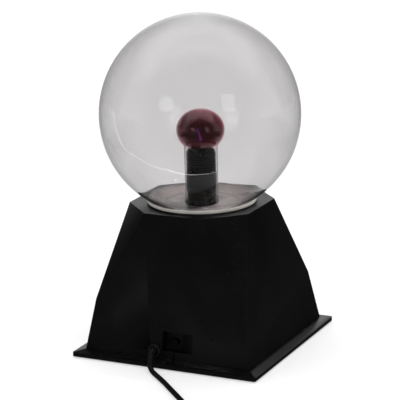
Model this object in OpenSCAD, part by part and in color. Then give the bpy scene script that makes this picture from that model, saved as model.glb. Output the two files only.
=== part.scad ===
// Plasma ball on a black moulded base: a glass globe with an inner electrode, the
// high-voltage supply inside the base, a slide switch and a captive mains lead.
// +Z is up, z = 0 is the table, and the lead leaves the rear wall, which faces +Y.

/* [Globe] */
// Outer radius of the glass globe
globe_r = 100; // [98:0.5:102]
// Height of the globe's centre above the table
globe_z = 234.3; // [234:0.1:235]
// Wall of the blown globe
globe_wall = 1.8; // [1.2:0.1:2.2]

/* [Electrode] */
// Outer radius of the inner glass tube
tube_r = 16.7; // [16.4:0.1:17]
// Wall of the inner glass tube and bulb
tube_wall = 1.3; // [1:0.1:1.4]
// Largest radius of the electrode bulb
bulb_r = 24; // [22:0.5:26]
// Half the height of the electrode bulb
bulb_half_h = 20.9; // [19:0.1:22]
// Height of the bulb's centre above the table
bulb_z = 218; // [216:0.5:220]
// Radius over the ribs of the black sleeve
sleeve_r = 14.8; // [14:0.1:15]
// Distance from one rib of the sleeve to the next
rib_pitch = 2.7; // [2.4:0.1:3]

/* [Base] */
// Half the width of the base over its flange
flange_half = 99.5; // [98:0.5:101]
// Half the width of the walls where they meet the flange
foot_half = 89.2; // [88:0.1:90]
// Half the width of the octagonal top between opposite walls
top_half = 65; // [63:0.5:67]
// How far each corner of the top is cut back along both sides
corner_cut = 33.5; // [32:0.5:35]
// Height of the top plate above the table
top_z = 146.3; // [146:0.1:147]
// Height at which the corner cuts run out into sharp corners
corner_apex_z = 57.8; // [50:0.1:65]
// Wall of the moulded base
wall = 2.5; // [2:0.1:3]

/* [Switch] */
// Travel of the switch knob to each side of its middle position
knob_travel = 2.5; // [2:0.1:3]
// Depth of the finger pocket round the switch
pocket_depth = 8; // [7:0.5:9]

/* [Lead] */
// Diameter of the round lead
cord_d = 5; // [4.5:0.1:5.2]
// Radius of the innermost turn of the stored coil
coil_in = 22; // [21:0.5:23]
// Radius of the outermost turn of the stored coil
coil_out = 37; // [36:0.5:38]

/* [Hidden] */
$fn = 72;
eps = 0.01;

// Base heights and the lean of its walls
shell_z0 = 1.2;
flange_edge_z = 5.4;
foot_z = 7.6;
wall_slope = (foot_half - top_half) / (top_z - foot_z);
wall_lean = atan(wall_slope);
corner_top_s = (2 * top_half - corner_cut) / sqrt(2);
corner_apex_s = (foot_half - wall_slope * (corner_apex_z - foot_z)) * sqrt(2);
plate_half = 96.8;
plate_z0 = 1.5;
plate_z1 = 3.8;
boss_xy = 74;
foot_xy = 86;
boss_r = 4.5;
screw_r = 1.45;
screw_hole_r = 1.5;

// Seat of the globe
mouth_r = 52;
spigot_r = 51.8;
spigot_in_r = 50.4;
collar_r = 54.8;
collar_z1 = 149.9;
spigot_z0 = 137.5;
seat_gap = 0.2;
dish_wall = 0.6;
glass_floor_z = 142.9;
tube_z0 = 138.9;
sleeve_z0 = 141.4;
sleeve_z1 = 200.5;
neck_z1 = 207;

// Circuit board and the parts on it
board_z = 12;
board_t = 1.6;
board_top = board_z + board_t;
board_x = [-38, 60];
board_y = [-47, 27];
board_holes = [for (x = [board_x[0] + 5, board_x[1] - 5], y = [board_y[0] + 5, board_y[1] - 5]) [x, y]];
fly_leg_x = 12;

// Mains transformer, which stands beside the board
trafo_x = -62;
trafo_y = 19;
trafo_z = plate_z1 + 0.1;

// Pocket and switch, in the rear wall's own plane: x along it, y out of it, z up it
pocket_z = 25;
pocket_x = [-27.5, 5];
pocket_half_z = 9.5;
switch_x = -5;
slot_half_x = 3 + knob_travel + 0.4;
slot_half_z = 2.5;
ear_screw_x = 10.6;
mic_at = [-48, 32.2];

// Cord bushing
exit_x = 12.5;
exit_z = 15.5;
exit_y = 92;
bushing_r = 4.8;
bushing_nut_r = 6.4;
spotface_y = 87;

// Lead: rings of the free stretch, chosen along its route over the table
cord_r = cord_d / 2;
boot_route = [[12.5, 92, 15.5], [12.5, 93.5, 15.5], [11.8, 97.5, 14.3], [10.1, 101.8, 11.6],
    [7.5, 106.2, 7.8], [4.2, 110.1, 4.4]];
boot_radii = [4.3, 4.2, 4, 3.7, 3.3, 3];
lead_route = [[4.2, 110.1, 4.4], [0.7, 113.6, 2.7], [-2.9, 117.2, 2.5], [-13, 127.4, 2.5],
    [-23, 137.5, 2.5], [-33, 147.7, 2.5], [-43, 157.8, 2.5], [-53, 167.9, 2.5],
    [-63, 178, 2.5], [-73, 188, 2.5], [-83, 198, 2.6], [-93, 207.9, 2.9],
    [-103.3, 218, 3.1]];
coil_centre = [-77, 244];
coil_z = [0.6, 10.6];
tail_route = [[-77, 281, 8.1], [-65, 281, 8.1], [-55, 281, 7.8], [-45, 281, 7.3],
    [-35, 281, 7], [-27, 281, 7]];
plug_x = -7;
plug_y = 281;
plug_z = 7;
plug_len = 34;
blade_pitch = 12.7;

// ---- helpers -------------------------------------------------------------

// Trapezoid prism along Y: half a wide at z = za, half b wide at z = zb
module leaning_prism(a, za, b, zb, reach) {
    rotate([90, 0, 0])
        linear_extrude(2 * reach, center = true)
            polygon([[-a, za], [a, za], [b, zb], [-b, zb]]);
}

// Half width of a leaning side, d inside the outer surface, at height z
function side_half(z, d = 0) = foot_half - wall_slope * (z - foot_z) - d / cos(wall_lean);

corner_slope = (corner_apex_s - corner_top_s) / (top_z - corner_apex_z);
function corner_half(z, d = 0) =
    corner_top_s + corner_slope * (top_z - z) - d * sqrt(1 + corner_slope * corner_slope);

// The base's walls as a solid, d inside the outer surface, between two heights
module wall_solid(z0, z1, d = 0) {
    intersection() {
        leaning_prism(side_half(z0, d), z0, side_half(z1, d), z1, 130);
        rotate(90) leaning_prism(side_half(z0, d), z0, side_half(z1, d), z1, 130);
        rotate(45) leaning_prism(corner_half(z0, d), z0, corner_half(z1, d), z1, 190);
        rotate(-45) leaning_prism(corner_half(z0, d), z0, corner_half(z1, d), z1, 190);
    }
}

// Square block centred on the axis, with rounded corners
module rounded_square_block(half, r, z0, z1) {
    translate([0, 0, z0])
        linear_extrude(z1 - z0)
            union() {
                square([2 * half, 2 * (half - r)], center = true);
                square([2 * (half - r), 2 * half], center = true);
                for (x = [-1, 1], y = [-1, 1])
                    translate([x * (half - r), y * (half - r)]) circle(r);
            }
}

module at_corners(d) {
    for (x = [-1, 1], y = [-1, 1]) translate([x * d, y * d, 0]) children();
}

// Places children in the rear wall's plane at height z: +Y out of the wall, +Z up it
module on_rear_wall(x, z) {
    translate([x, side_half(z), z]) rotate([wall_lean, 0, 0]) children();
}

// Cylinder along Y from y0 to y1
module rod_y(r, y0, y1) {
    translate([0, y0, 0]) rotate([-90, 0, 0]) cylinder(r = r, h = y1 - y0);
}

// Cylinder along X from x0 to x1
module rod_x(r, x0, x1) {
    translate([x0, 0, 0]) rotate([0, 90, 0]) cylinder(r = r, h = x1 - x0);
}

function unit(v) = v / norm(v);
function heading(p, i) =
    unit(i == 0 ? p[1] - p[0] : i == len(p) - 1 ? p[i] - p[i - 1] : p[i + 1] - p[i - 1]);
function sideways(t) = unit(cross(t, abs(t[2]) > 0.9 ? [1, 0, 0] : [0, 0, 1]));

// Tube swept through the points p, with one radius a point and n sides
module swept_tube(p, radii, n = 8) {
    rings = [for (i = [0 : len(p) - 1])
        let (t = heading(p, i), s = sideways(t), u = cross(s, t))
            for (k = [0 : n - 1]) p[i] + radii[i] * (cos(360 * k / n) * s + sin(360 * k / n) * u)];
    last = (len(p) - 1) * n;
    sides = [for (i = [0 : len(p) - 2], k = [0 : n - 1])
        [i * n + k, i * n + (k + 1) % n, (i + 1) * n + (k + 1) % n, (i + 1) * n + k]];
    ends = [[for (k = [n - 1 : -1 : 0]) k], [for (k = [0 : n - 1]) last + k]];
    polyhedron(rings, concat(sides, ends), convexity = 4);
}

module cord_tube(p) {
    swept_tube(p, [for (q = p) cord_r]);
}

// Quarter profile of the electrode, t inside its outer surface
function bulb_points(t) =
    let (a = bulb_r - t, c = bulb_half_h - t, r = tube_r - t, low = -acos(r / a))
        [for (i = [0 : 24]) let (w = 90 + (low - 90) * i / 24) [a * cos(w), bulb_z + c * sin(w)]];

// ---- base ------------------------------------------------------------------

module pocket_outline(grow) {
    polygon([
        [pocket_x[1] + grow, 6], [pocket_x[1] + grow, -pocket_depth - grow],
        [-13.5 - grow, -pocket_depth - grow], [pocket_x[0] - 2 * grow, -grow],
        [pocket_x[0] - 2 * grow, 6]]);
}

module pocket(grow) {
    translate([0, 0, -pocket_half_z - grow])
        linear_extrude(2 * (pocket_half_z + grow)) pocket_outline(grow);
}

module flange_solid() {
    intersection() {
        leaning_prism(flange_half, flange_edge_z, foot_half - 0.5, foot_z, 130);
        rotate(90) leaning_prism(flange_half, flange_edge_z, foot_half - 0.5, foot_z, 130);
    }
    rounded_square_block(flange_half, 2, shell_z0, flange_edge_z);
}

module boss_with_web() {
    translate([0, 0, plate_z1 + 0.1]) cylinder(r = boss_r, h = 24);
    rotate(45) translate([0, -1, foot_z]) cube([26, 2, 18]);
}

// Narrow groove from the pocket down to the flange, and the notch that it ends in
module rear_groove() {
    on_rear_wall(-8.2, pocket_z) translate([-0.8, -1.2, -20]) cube([1.6, 4, 14]);
    translate([-14, 91.6, 4.6]) cube([11, 5.4, 4]);
}

module body_shell() {
    color([0.06, 0.06, 0.065])
        difference() {
            union() {
                difference() {
                    union() {
                        intersection() {
                            flange_solid();
                            rounded_square_block(flange_half, 2, 0, 30);
                        }
                        wall_solid(foot_z - 3, top_z);
                    }
                    wall_solid(0, top_z - wall, wall);
                    rounded_square_block(plate_half + 0.2, 2, 0, plate_z1 + 0.1);
                }
                intersection() {
                    wall_solid(plate_z1 + 0.1, top_z - wall);
                    union() {
                        on_rear_wall(0, pocket_z) pocket(2);
                        translate([exit_x, 0, exit_z]) rod_y(8.5, 82.6, 100);
                        on_rear_wall(mic_at[0], mic_at[1]) rod_y(6.6, -7, 3);
                        for (x = [-1, 1], y = [-1, 1])
                            mirror([x < 0 ? 1 : 0, 0, 0]) mirror([0, y < 0 ? 1 : 0, 0])
                                translate([boss_xy, boss_xy, 0]) boss_with_web();
                    }
                }
            }
            on_rear_wall(0, pocket_z) pocket(0);
            on_rear_wall(switch_x, pocket_z)
                translate([-slot_half_x, -pocket_depth - 4, -slot_half_z])
                    cube([2 * slot_half_x, 6, 2 * slot_half_z]);
            for (x = [-ear_screw_x, ear_screw_x])
                on_rear_wall(switch_x + x, pocket_z) rod_y(0.8, -pocket_depth - 4, -pocket_depth - 0.8);
            on_rear_wall(mic_at[0], mic_at[1]) rod_y(0.9, -8, 4);
            on_rear_wall(mic_at[0], mic_at[1]) rod_y(5, -8, -2);
            translate([exit_x, 0, exit_z]) rod_y(bushing_r + 0.1, 78, 100);
            translate([exit_x, 0, exit_z]) rod_y(6.8, spotface_y, 100);
            translate([exit_x, 0, exit_z]) rod_y(bushing_nut_r + 0.1, 60, 82.6);
            rear_groove();
            translate([0, 0, top_z - 10]) cylinder(r = mouth_r, h = 20);
            at_corners(boss_xy) cylinder(r = screw_hole_r, h = 22);
        }
}

module bottom_plate() {
    color([0.09, 0.09, 0.09])
        difference() {
            rounded_square_block(plate_half, 2, plate_z0, plate_z1);
            at_corners(boss_xy) {
                cylinder(r = 1.8, h = 10);
                translate([0, 0, plate_z0 - eps]) cylinder(r = 3.3, h = 1.1);
            }
            for (y = [-78 : 8 : -54]) translate([-25, y, 0]) cube([50, 3, 10]);
        }
}

module rubber_feet() {
    color([0.13, 0.13, 0.13])
        at_corners(foot_xy)
            rotate_extrude()
                polygon([[0, 0], [5.6, 0], [6.4, 0.5], [7, plate_z0], [0, plate_z0]]);
}

module bottom_screws() {
    color([0.55, 0.55, 0.57])
        at_corners(boss_xy)
            difference() {
                union() {
                    translate([0, 0, plate_z0 + 0.05]) cylinder(r = 3, h = 1);
                    translate([0, 0, plate_z0 + 0.5]) cylinder(r = screw_r, h = 14);
                }
                for (a = [0, 90]) rotate(a) translate([-2, -0.35, 0]) cube([4, 0.7, plate_z0 + 0.6]);
            }
}

module collar_ring() {
    color([0.62, 0.6, 0.57])
        rotate_extrude()
            polygon([
                [spigot_in_r, spigot_z0], [spigot_r, spigot_z0], [spigot_r, top_z + 0.05],
                [collar_r - 1, top_z + 0.05], [collar_r - 1, top_z + 0.6],
                [collar_r, top_z + 0.7], [collar_r, collar_z1 - 0.9],
                [collar_r - 0.15, collar_z1 - 0.35], [collar_r - 0.55, collar_z1],
                [collar_r - 1.1, collar_z1 - 0.1], [52.9, collar_z1 - 0.65],
                [52.9, 148.3], [spigot_in_r, 146.8]]);
}

module collar_nut() {
    color([0.2, 0.2, 0.21])
        difference() {
            translate([0, 0, 138.6]) cylinder(r = 58, h = top_z - wall - 138.65);
            translate([0, 0, 130]) cylinder(r = spigot_r + 0.05, h = 20);
            for (a = [0 : 30 : 330])
                rotate(a) translate([56.2, -3, 130]) cube([6, 6, 20]);
        }
}

module seat_dish() {
    color([0.42, 0.39, 0.37])
        difference() {
            intersection() {
                translate([0, 0, globe_z]) sphere(globe_r + seat_gap + dish_wall, $fn = 120);
                translate([0, 0, 141.8]) cylinder(r = 52.6, h = 10);
            }
            intersection() {
                translate([0, 0, globe_z]) sphere(globe_r + seat_gap, $fn = 120);
                translate([0, 0, 142.6]) cylinder(r = 60, h = 100);
            }
            translate([0, 0, 130]) cylinder(r = 20.6, h = 20);
        }
}

// ---- globe and electrode -----------------------------------------------------

module globe_glass() {
    color([0.8, 0.8, 0.82, 0.25])
        difference() {
            intersection() {
                translate([0, 0, globe_z]) sphere(globe_r, $fn = 160);
                translate([0, 0, glass_floor_z]) cylinder(r = 120, h = 220);
            }
            intersection() {
                translate([0, 0, globe_z]) sphere(globe_r - globe_wall, $fn = 160);
                translate([0, 0, glass_floor_z + globe_wall]) cylinder(r = 120, h = 220);
            }
            translate([0, 0, 130]) cylinder(r = tube_r + 0.05, h = 20);
        }
}

module electrode_glass() {
    outer = bulb_points(0);
    inner = bulb_points(tube_wall);
    color([0.55, 0.3, 0.38, 0.5])
        rotate_extrude()
            polygon(concat(
                [[0, bulb_z + bulb_half_h - tube_wall], [0, bulb_z + bulb_half_h]],
                [for (i = [1 : 24]) outer[i]],
                [[tube_r, tube_z0], [tube_r - tube_wall, tube_z0]],
                [for (i = [24 : -1 : 1]) inner[i]]));
}

module electrode_coating() {
    skin = bulb_points(tube_wall + 0.05);
    back = bulb_points(tube_wall + 0.4);
    color([0.2, 0.06, 0.09, 0.8])
        rotate_extrude()
            polygon(concat(
                [[0, bulb_z + bulb_half_h - tube_wall - 0.4], [0, bulb_z + bulb_half_h - tube_wall - 0.05]],
                [for (i = [1 : 21]) skin[i]],
                [for (i = [21 : -1 : 1]) back[i]]));
}

module contact_wire() {
    color([0.6, 0.3, 0.7]) {
        translate([0, 0, neck_z1 + 0.05]) cylinder(r = 1, h = 9);
        translate([0, 0, neck_z1 + 9]) sphere(1.6);
    }
}

module sleeve_neck() {
    color([0.12, 0.09, 0.08])
        rotate_extrude()
            polygon([
                [2.4, sleeve_z1 + 0.05], [9.8, sleeve_z1 + 0.05], [9.8, neck_z1 - 0.8],
                [9, neck_z1], [2.4, neck_z1]]);
}

// Flat of each rib is 60% of the pitch and its root is 0.9 mm deep
module ribbed_sleeve() {
    ribs = floor((sleeve_z1 - 2 - sleeve_z0) / rib_pitch);
    color([0.07, 0.07, 0.075])
        rotate_extrude()
            polygon(concat(
                [[5, sleeve_z0]],
                [for (i = [0 : ribs - 1], k = [0 : 3])
                    [sleeve_r - (k == 0 || k == 3 ? 0.9 : 0),
                     sleeve_z0 + rib_pitch * (i + [0.05, 0.2, 0.75, 0.9][k])]],
                [[sleeve_r - 0.9, sleeve_z1 - 2], [sleeve_r - 2.6, sleeve_z1], [5, sleeve_z1]]));
}

module tape_band() {
    color([0.25, 0.26, 0.28])
        difference() {
            translate([0, 0, 153]) cylinder(r = sleeve_r + 0.35, h = 22.8);
            cylinder(r = sleeve_r + 0.05, h = 400);
            translate([0, 0, 159.8]) rotate(25.86) rotate([0, 15, 0]) translate([-40, -40, -40]) cube([80, 80, 40]);
        }
}

module stem_bung() {
    color([0.18, 0.17, 0.16])
        rotate_extrude()
            polygon([
                [1.8, 132], [17.5, 132], [19, 134], [19, tube_z0 - 0.05],
                [15.3, tube_z0 - 0.05], [15.3, sleeve_z0 - 0.05], [1.8, sleeve_z0 - 0.05]]);
}

module hv_lead() {
    color([0.75, 0.12, 0.1])
        translate([0, 0, 40.1]) cylinder(r = 1.75, h = neck_z1 - 40.1);
}

// ---- circuit board -------------------------------------------------------------

module circuit_board() {
    color([0.1, 0.32, 0.16])
        difference() {
            translate([board_x[0], board_y[0], board_z])
                cube([board_x[1] - board_x[0], board_y[1] - board_y[0], board_t]);
            for (p = board_holes) translate([p[0], p[1], 0]) cylinder(r = 1.6, h = 30);
        }
}

module board_spacers() {
    color([0.85, 0.83, 0.75])
        for (p = board_holes)
            translate([p[0], p[1], plate_z1])
                difference() {
                    cylinder(r = 3.2, h = board_z - plate_z1);
                    cylinder(r = 1.5, h = 30);
                }
}

module board_screws() {
    color([0.7, 0.7, 0.72])
        for (p = board_holes)
            translate([p[0], p[1], 0]) {
                translate([0, 0, plate_z1 + 1]) cylinder(r = 1.45, h = board_top - plate_z1 - 1);
                translate([0, 0, board_top]) cylinder(r = 2.8, h = 1.8);
            }
}

module flyback_core() {
    color([0.17, 0.17, 0.18])
        difference() {
            translate([fly_leg_x - 6, -6, board_top + 1]) cube([40, 12, 34]);
            translate([fly_leg_x + 6, -10, board_top + 9]) cube([16, 20, 18]);
        }
}

module flyback_winding() {
    color([0.12, 0.12, 0.13])
        difference() {
            union() {
                translate([fly_leg_x, 0, board_top + 9.2]) cylinder(r = 14.5, h = 1.6);
                translate([fly_leg_x, 0, board_top + 9.2]) cylinder(r = 13, h = 17.3);
                translate([fly_leg_x, 0, board_top + 24.9]) cylinder(r = 14.5, h = 1.6);
            }
            translate([fly_leg_x - 6.1, -6.1, 0]) cube([12.2, 12.2, 90]);
        }
}

module heat_sink() {
    color([0.7, 0.71, 0.73])
        translate([40, -42, board_top]) {
            cube([3, 28, 32]);
            for (y = [0 : 5 : 25]) translate([3 - eps, y, 0]) cube([9, 1.5, 32]);
        }
}

module power_transistor() {
    color([0.08, 0.08, 0.08]) {
        translate([35.4, -33, board_top + 8]) cube([4.5, 10, 9]);
        translate([38.6, -33, board_top + 17 - eps]) cube([1.3, 10, 6.4]);
        for (y = [-30.5, -28, -25.5]) translate([37, y - 0.4, board_top]) cube([0.6, 0.8, 8 + eps]);
    }
}

module capacitors() {
    color([0.12, 0.14, 0.3]) {
        translate([-20, -30, board_top]) cylinder(r = 9, h = 26);
        translate([2, -33, board_top]) cylinder(r = 5, h = 13);
        translate([16, -33, board_top]) cylinder(r = 5, h = 13);
        translate([27, -33, board_top]) cylinder(r = 3.2, h = 8);
    }
}

module rectifier_diodes() {
    color([0.1, 0.1, 0.1])
        for (i = [0 : 3])
            translate([-34, 2 + 5 * i, board_top + 1.6]) rod_x(1.5, 0, 6);
}

module fuse() {
    color([0.8, 0.85, 0.85])
        translate([-22, 18, board_top + 4]) rod_x(2.5, 0, 20);
}

module fuse_clips() {
    color([0.8, 0.72, 0.4])
        for (x = [-20.5, -6.5])
            difference() {
                translate([x, 14.6, board_top]) cube([3, 6.8, 6.4]);
                translate([x - 1, 18, board_top + 4]) rod_x(2.55, 0, 6);
                translate([x - 1, 16.4, board_top + 4]) cube([6, 3.2, 6]);
            }
}

// ---- mains transformer -----------------------------------------------------------

module transformer_core() {
    color([0.3, 0.3, 0.32])
        difference() {
            translate([trafo_x - 9, trafo_y - 24, trafo_z]) cube([18, 48, 40]);
            for (y = [-16, 8]) translate([trafo_x - 20, trafo_y + y, trafo_z + 8]) cube([40, 8, 24]);
        }
}

module transformer_coil() {
    color([0.75, 0.6, 0.25])
        difference() {
            translate([trafo_x - 15, trafo_y - 15.8, trafo_z + 8.2]) cube([30, 31.6, 23.6]);
            translate([trafo_x - 9.1, trafo_y - 8.1, 0]) cube([18.2, 16.2, 90]);
        }
}

module transformer_strap() {
    color([0.6, 0.61, 0.63])
        difference() {
            union() {
                translate([trafo_x - 7, trafo_y - 25.1, trafo_z]) cube([14, 1, 41.1]);
                translate([trafo_x - 7, trafo_y + 24.1, trafo_z]) cube([14, 1, 41.1]);
                translate([trafo_x - 7, trafo_y - 25.1, trafo_z + 40.1]) cube([14, 50.2, 1]);
                for (y = [-34, 24.1]) translate([trafo_x - 7, trafo_y + y, trafo_z]) cube([14, 9.9, 1]);
            }
            for (y = [-29.5, 29.5]) translate([trafo_x, trafo_y + y, 0]) cylinder(r = 1.8, h = 30);
        }
}

module transformer_screws() {
    color([0.7, 0.7, 0.72])
        for (y = [-29.5, 29.5])
            translate([trafo_x, trafo_y + y, trafo_z]) {
                cylinder(r = 1.7, h = 1 + eps);
                translate([0, 0, 1]) cylinder(r = 3, h = 2);
            }
}

// ---- switch, microphone and bushing ----------------------------------------------

module at_switch() {
    on_rear_wall(switch_x, pocket_z) translate([0, -pocket_depth - 2.05, 0]) children();
}

module switch_frame() {
    color([0.66, 0.66, 0.68])
        at_switch()
            difference() {
                union() {
                    translate([-13.2, -0.8, -3.5]) cube([26.4, 0.8, 7]);
                    translate([-8.5, -7.8, -4.5]) cube([17, 7.8, 9]);
                }
                translate([-7.7, -5, -3.7]) cube([15.4, 4.2, 7.4]);
                translate([-slot_half_x, -4, -slot_half_z]) cube([2 * slot_half_x, 10, 2 * slot_half_z]);
                for (x = [-ear_screw_x, ear_screw_x]) translate([x, 0, 0]) rod_y(1.1, -4, 4);
            }
}

module switch_knob() {
    color([0.05, 0.05, 0.05])
        at_switch() {
            translate([-4.7, -4.6, -3.3]) cube([9.4, 3.3, 6.6]);
            difference() {
                translate([-3, -1.5, -2.1]) cube([6, 6.5, 4.2]);
                for (x = [-2 : 1 : 2]) translate([x - 0.2, 4.6, -3]) cube([0.4, 1, 6]);
            }
        }
}

module switch_terminals() {
    color([0.82, 0.74, 0.45])
        at_switch()
            for (x = [-5.5, 0, 5.5], z = [-2, 2])
                translate([x - 1, -12.3, z - 0.3]) cube([2, 4.5, 0.6]);
}

module switch_screws() {
    color([0.7, 0.7, 0.72])
        at_switch()
            for (x = [-ear_screw_x, ear_screw_x])
                translate([x, 0, 0]) {
                    rod_y(1.9, -2.2, -0.85);
                    rod_y(0.75, -1, 1.1);
                }
}

module microphone() {
    color([0.75, 0.75, 0.77])
        on_rear_wall(mic_at[0], mic_at[1])
            difference() {
                rod_y(4.9, -8.4, -2.1);
                rod_y(1.4, -3, 0);
            }
}

module cord_bushing() {
    color([0.05, 0.05, 0.05])
        translate([exit_x, 0, exit_z])
            difference() {
                union() {
                    rod_y(bushing_r, 78, 89);
                    rod_y(6.6, spotface_y + 0.05, exit_y - 0.8);
                    rod_y(6, spotface_y + 0.05, exit_y);
                }
                rod_y(cord_r + 0.05, 70, 95);
            }
}

module bushing_nut() {
    color([0.08, 0.08, 0.08])
        translate([exit_x, 0, exit_z])
            difference() {
                rod_y(bushing_nut_r, 78.5, 82.5);
                for (a = [0 : 45 : 315])
                    rotate([0, a, 0]) translate([bushing_nut_r - 0.6, 70, -0.8]) cube([2, 20, 1.6]);
                rod_y(bushing_r + 0.05, 70, 95);
            }
}

module supply_wires() {
    color([0.45, 0.25, 0.12])
        swept_tube([[exit_x + 1.2, 77.9, exit_z], [exit_x + 1.2, 68, 15], [6, 58, 10], [-14, 50, 7],
            [-34, 46, 6.5], [-40, 36, 7], [-44, 28, 12]], [1, 1, 1, 1, 1, 1, 1]);
    color([0.15, 0.3, 0.6])
        swept_tube([[exit_x - 1.2, 77.9, exit_z], [exit_x - 1.2, 68, 16], [6, 58, 20], [-4, 55, 22.5],
            [-10, 58.5, 23], [-10.5, 63.5, 23]], [1, 1, 1, 1, 1, 1]);
}

module low_voltage_wires() {
    color([0.7, 0.15, 0.12])
        swept_tube([[-46.8, 14, 18], [-42, 13, 19], [-38, 12, 18], [-35.5, 11, 16], [-34.6, 10, 14.6]],
            [0.8, 0.8, 0.8, 0.8, 0.8]);
    color([0.1, 0.1, 0.1])
        swept_tube([[-48, 71.5, 30], [-46, 62, 26], [-40, 50, 20], [-32, 36, 17], [-26, 25, 16.5],
            [-25, 22, 14.8]], [0.8, 0.8, 0.8, 0.8, 0.8, 0.8]);
}

// ---- lead ------------------------------------------------------------------------

module cord_boot() {
    color([0.05, 0.05, 0.05]) swept_tube(boot_route, boot_radii, 12);
}

module cord_lead() {
    color([0.06, 0.06, 0.06]) cord_tube(lead_route);
}

module cord_coil() {
    in_r = coil_in - cord_r - 1;
    out_r = coil_out + cord_r;
    c = 1.8;
    color([0.06, 0.06, 0.06])
        translate([coil_centre[0], coil_centre[1], 0])
            rotate_extrude()
                polygon([
                    [in_r + c, coil_z[0]], [out_r - c, coil_z[0]], [out_r, coil_z[0] + c],
                    [out_r, coil_z[1] - c], [out_r - c, coil_z[1]], [in_r + c, coil_z[1]],
                    [in_r, coil_z[1] - c], [in_r, coil_z[0] + c]]);
}

module cord_tie() {
    in_r = coil_in - cord_r - 1;
    out_r = coil_out + cord_r;
    color([0.12, 0.12, 0.13])
        translate([coil_centre[0], coil_centre[1], 0])
            rotate(-40)
                difference() {
                    translate([in_r - 1.3, -4, 0]) cube([out_r - in_r + 2, 8, coil_z[1] + 0.6]);
                    translate([in_r - 0.7, -5, 0.55]) cube([out_r - in_r + 0.8, 10, coil_z[1] - 0.5]);
                }
}

module cord_tail() {
    color([0.06, 0.06, 0.06]) cord_tube(tail_route);
}

module plug_boot() {
    color([0.06, 0.06, 0.06])
        translate([0, plug_y, plug_z])
            rotate([0, 90, 0])
                translate([0, 0, plug_x - 20])
                    rotate_extrude() polygon([[0, 0], [3, 0], [5, 20], [0, 20]]);
}

module plug_body() {
    w = 12.5;
    t = 6.9;
    color([0.07, 0.07, 0.07])
        translate([plug_x, plug_y, plug_z])
            rotate([90, 0, 90])
                union() {
                    linear_extrude(plug_len) square([2 * (w - t), 2 * t], center = true);
                    for (s = [-1, 1]) translate([s * (w - t), 0, 0]) cylinder(r = t, h = plug_len);
                }
}

module plug_blades() {
    color([0.75, 0.68, 0.5])
        for (s = [-1, 1])
            translate([plug_x + plug_len, plug_y + s * blade_pitch / 2 - 0.75, plug_z - 3.15])
                difference() {
                    cube([16, 1.5, 6.3]);
                    translate([12, 0, 3.15]) rod_y(1.5, -1, 3);
                }
}

body_shell();
bottom_plate();
rubber_feet();
bottom_screws();
collar_ring();
collar_nut();
seat_dish();
globe_glass();
electrode_glass();
electrode_coating();
contact_wire();
sleeve_neck();
ribbed_sleeve();
tape_band();
stem_bung();
hv_lead();
circuit_board();
board_spacers();
board_screws();
flyback_core();
flyback_winding();
heat_sink();
power_transistor();
capacitors();
rectifier_diodes();
fuse();
fuse_clips();
transformer_core();
transformer_coil();
transformer_strap();
transformer_screws();
switch_frame();
switch_knob();
switch_terminals();
switch_screws();
microphone();
cord_bushing();
bushing_nut();
supply_wires();
low_voltage_wires();
cord_boot();
cord_lead();
cord_coil();
cord_tie();
cord_tail();
plug_boot();
plug_body();
plug_blades();
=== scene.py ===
# %% [markdown]
# # A plasma ball, rebuilt as a lesson in surfaces made with numpy
#
# The object is a glass globe on a black moulded base. Inside the globe stands an electrode:
# a small dark bulb on a clear tube, with a ribbed black sleeve and a turn of tape in it. A
# thin black lead leaves the rear wall. Every measure below is in millimetres, and it is
# turned into metres as it goes into a mesh.

# %% Load the frame
import bpy
import bmesh
import numpy as np
from math import radians
from mathutils import Matrix, Vector


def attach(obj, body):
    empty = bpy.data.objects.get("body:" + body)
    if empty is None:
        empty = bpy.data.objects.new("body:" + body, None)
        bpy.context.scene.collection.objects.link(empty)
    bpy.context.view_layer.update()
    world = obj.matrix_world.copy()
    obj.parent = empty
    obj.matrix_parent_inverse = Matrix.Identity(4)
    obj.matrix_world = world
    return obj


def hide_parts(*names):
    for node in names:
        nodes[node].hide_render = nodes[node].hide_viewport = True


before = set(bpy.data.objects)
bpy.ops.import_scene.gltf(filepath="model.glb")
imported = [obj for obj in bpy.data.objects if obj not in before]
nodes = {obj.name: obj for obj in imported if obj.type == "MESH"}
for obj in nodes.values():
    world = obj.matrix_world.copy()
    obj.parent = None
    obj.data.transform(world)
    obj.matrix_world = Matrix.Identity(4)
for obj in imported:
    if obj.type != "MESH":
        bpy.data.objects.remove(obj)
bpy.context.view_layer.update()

MM = 0.001

# %% [markdown]
# ## The camera
# The object is seen from behind and a little above, so that the wall with the lead is in
# front. A long lens from almost two metres keeps the upright lines nearly parallel. The
# camera's place comes from its turn, its height over the horizon and its distance.

# %% Camera
azimuth, elevation, roll = radians(205.86), radians(14.94), radians(-1.4)
look_at = np.array([0, 0, 146.36])
distance = 1879.7
back = np.array([np.sin(azimuth) * np.cos(elevation),
                 -np.cos(azimuth) * np.cos(elevation), np.sin(elevation)])
level = np.array([np.cos(azimuth), np.sin(azimuth), 0])
over = np.cross(back, level)
right = np.cos(roll) * level + np.sin(roll) * over
up = -np.sin(roll) * level + np.cos(roll) * over
camera = bpy.data.objects.new("camera", bpy.data.cameras.new("camera"))
camera.matrix_world = Matrix([[*row, at * MM] for row, at in
                              zip(np.stack([right, up, back], 1), look_at + back * distance)]
                             + [[0, 0, 0, 1]])
camera.data.lens, camera.data.sensor_width = 169.3, 36
camera.data.shift_x = -0.0052
camera.data.clip_start, camera.data.clip_end = 0.05, 60
bpy.context.scene.collection.objects.link(camera)
bpy.context.scene.camera = camera
bpy.context.scene.view_settings.view_transform = "Standard"
print("camera at, mm:", np.round(look_at + back * distance))

# %% [markdown]
# ## From a grid of points to a mesh
# Nearly every new piece here is a grid: rows of points along one parameter, columns along
# another. A face joins each point to its neighbours. Where a row shrinks to one point, at a
# pole, its copies are welded, so that the surface is closed.

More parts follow.
